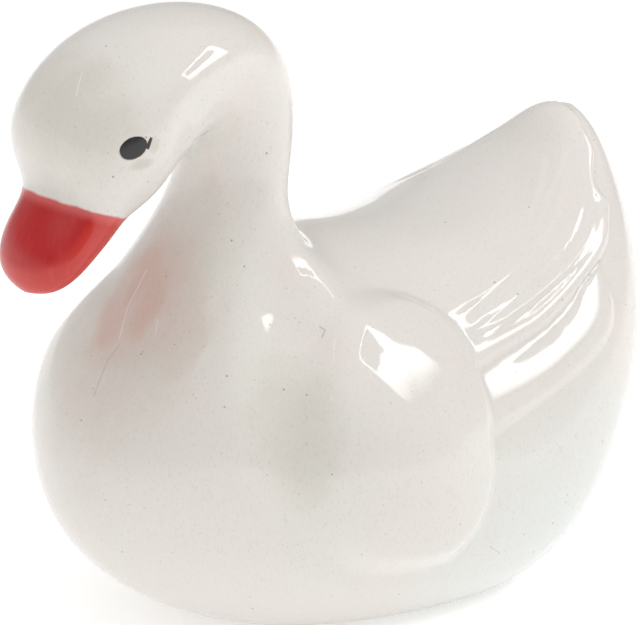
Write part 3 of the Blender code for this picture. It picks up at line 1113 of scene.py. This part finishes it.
@dataclass(frozen=True)
class Softbox:
    """A soft light to the camera's right: crisp at its top, fading downwards, with a dim patch."""

    azimuth: float = np.radians(52)
    elevation: float = np.radians(38)
    distance: float = 0.45
    width: float = 0.28
    height: float = 0.21
    strength: float = 8.1
    target: Spot = (0.0, 0.0, 0.025)
    side_rim: float = 0.08
    top_rim: float = 0.05
    bottom_fade: float = 0.45
    patch_middle: tuple[float, float] = (0.46, 0.76)
    patch_half: tuple[float, float] = (0.38, 0.15)
    patch_dimming: float = 0.93

    def build(self) -> None:
        """Makes the light as a glowing panel that the camera doesn't see."""
        right, up, away = directions(self.azimuth, self.elevation)
        centre = Vector(self.target) + away * self.distance
        half_right, half_up = right * (self.width / 2), up * (self.height / 2)
        signs = ((-1, -1), (-1, 1), (1, 1), (1, -1))
        corners = [tuple(centre + half_right * a + half_up * b) for a, b in signs]
        mesh = bpy.data.meshes.new("softbox")
        mesh.from_pydata(corners, [], [(0, 1, 2, 3)])
        layer = mesh.uv_layers.new(name="panel")
        layer.data.foreach_set("uv", [0.0, 0.0, 0.0, 1.0, 1.0, 1.0, 1.0, 0.0])
        mesh.materials.append(self.glow())
        panel = bpy.data.objects.new("softbox", mesh)
        panel.visible_camera = False
        bpy.context.scene.collection.objects.link(panel)

    def glow(self) -> bpy.types.Material:
        """The panel's light: full inside a soft rim, with the dim patch and its uneven edge."""
        material = bpy.data.materials.new("softbox_glow")
        material.use_nodes = True
        sheet = NodeSheet(material.node_tree)
        point = sheet.node("ShaderNodeUVMap", {"uv_map": "panel"})
        u, v = (sheet.node("ShaderNodeSeparateXYZ", None, {0: point}, out=axis) for axis in range(2))
        sides = u.ramp(0.0, self.side_rim) * u.ramp(1.0, 1 - self.side_rim)
        rim = sides * v.ramp(0.0, self.bottom_fade) * v.ramp(1.0, 1 - self.top_rim)
        uneven = (u * 23.0).sine() * 0.010 + (u * 61.0).sine() * 0.005
        from_u = abs(u - self.patch_middle[0]) / self.patch_half[0]
        from_v = abs(v - self.patch_middle[1] + uneven) / self.patch_half[1]
        patch = (from_u**4.0 + from_v**4.0).ramp(1.05, 0.95)
        light = rim * (1 - patch * self.patch_dimming) * self.strength
        glow = sheet.node("ShaderNodeEmission", None, {"Color": (1.0, 1.0, 1.0, 1), "Strength": light})
        output = material.node_tree.nodes.new("ShaderNodeOutputMaterial")
        material.node_tree.links.new(glow.socket, output.inputs["Surface"])
        return material


@dataclass(frozen=True)
class Wall:
    """A soft patch of light in the surround: its middle in degrees round and up, and its strength."""

    azimuth: float
    elevation: float
    strength: float

    def light(self, sheet: NodeSheet, look: Tone) -> Tone:
        """Its light in a direction, easing off to nothing 60 degrees from its middle."""
        middle = directions(np.radians(self.azimuth), np.radians(self.elevation))[2]
        inputs = {0: look, 1: tuple(middle)}
        facing = sheet.node("ShaderNodeVectorMath", {"operation": "DOT_PRODUCT"}, inputs, out="Value")
        return facing.ramp(0.5, 1.0) * self.strength


@dataclass
class Studio:
    """A bright pale floor, lit softly from above, from the camera's side and from both flanks."""

    camera: Camera = field(default_factory=Camera)
    key: Softbox = field(default_factory=Softbox)
    ceiling: Wall = Wall(0, 90, 0.71)
    behind_camera: Wall = Wall(-42, 50, 0.52)
    above_left: Wall = Wall(-132, 50, 0.10)
    above_back: Wall = Wall(138, 50, 0.31)
    above_right: Wall = Wall(48, 50, 0.30)
    low_front: Wall = Wall(-42, 10, 0.10)
    low_right: Wall = Wall(48, 10, 0.30)
    low_left: Wall = Wall(-87, 10, 0.36)
    left: Wall = Wall(-132, 10, 0.29)
    back_left: Wall = Wall(-177, 10, 0.33)
    sweep: float = 0.36
    sweep_height: float = 0.22
    floor_colour: Colour = (0.88, 0.88, 0.88, 1)
    floor_size: float = 4.0
    floor_glow: float = 0.38

    def floor(self) -> None:
        """A level pale floor under the piece."""
        mesh = bpy.data.meshes.new("floor")
        half = self.floor_size / 2
        corners = [(-half, -half, 0), (half, -half, 0), (half, half, 0), (-half, half, 0)]
        mesh.from_pydata(corners, [], [(0, 1, 2, 3)])
        material = bpy.data.materials.new("pale_floor")
        material.use_nodes = True
        shader = material.node_tree.nodes["Principled BSDF"]
        shader.inputs["Base Color"].default_value = self.floor_colour
        shader.inputs["Roughness"].default_value = 0.9
        shader.inputs["Specular IOR Level"].default_value = 0.0
        shader.inputs["Emission Color"].default_value = (1.0, 1.0, 1.0, 1)
        shader.inputs["Emission Strength"].default_value = self.floor_glow
        mesh.materials.append(material)
        floor = bpy.data.objects.new("floor", mesh)
        bpy.context.scene.collection.objects.link(floor)

    def walls(self) -> tuple[Wall, ...]:
        """All of the surround's patches of light."""
        high = (self.ceiling, self.behind_camera, self.above_left, self.above_back, self.above_right)
        return *high, self.low_front, self.low_right, self.low_left, self.left, self.back_left

    def world(self) -> None:
        """A dark surround with the walls' soft light in it, brighter where the floor sweeps up to it."""
        world = bpy.data.worlds.new("surround")
        bpy.context.scene.world = world
        world.use_nodes = True
        sheet = NodeSheet(world.node_tree)
        look = sheet.node("ShaderNodeTexCoord", out="Generated")
        first, *others = (wall.light(sheet, look) for wall in self.walls())
        height = sheet.node("ShaderNodeSeparateXYZ", None, {0: look}, out=2)
        light = sum(others, first) + height.ramp(self.sweep_height, 0.0) * self.sweep
        glow = sheet.node("ShaderNodeBackground", None, {"Color": (1.0, 1.0, 1.0, 1), "Strength": light})
        output = world.node_tree.nodes.new("ShaderNodeOutputWorld")
        world.node_tree.links.new(glow.socket, output.inputs["Surface"])

    def build(self) -> None:
        """Makes the floor, the lights and the camera."""
        self.floor()
        self.world()
        self.key.build()
        self.camera.build()
        bpy.context.scene.view_settings.view_transform = "Standard"


def main() -> None:
    """Loads the frame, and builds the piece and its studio."""
    logging.basicConfig(level=logging.INFO, format="%(name)s: %(message)s")
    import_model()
    piece = Swan().build()
    LOG.info("%s: %d faces", piece.name, len(piece.data.polygons))
    Studio().build()
    LOG.info("studio is lit")


if __name__ == "__main__":
    main()
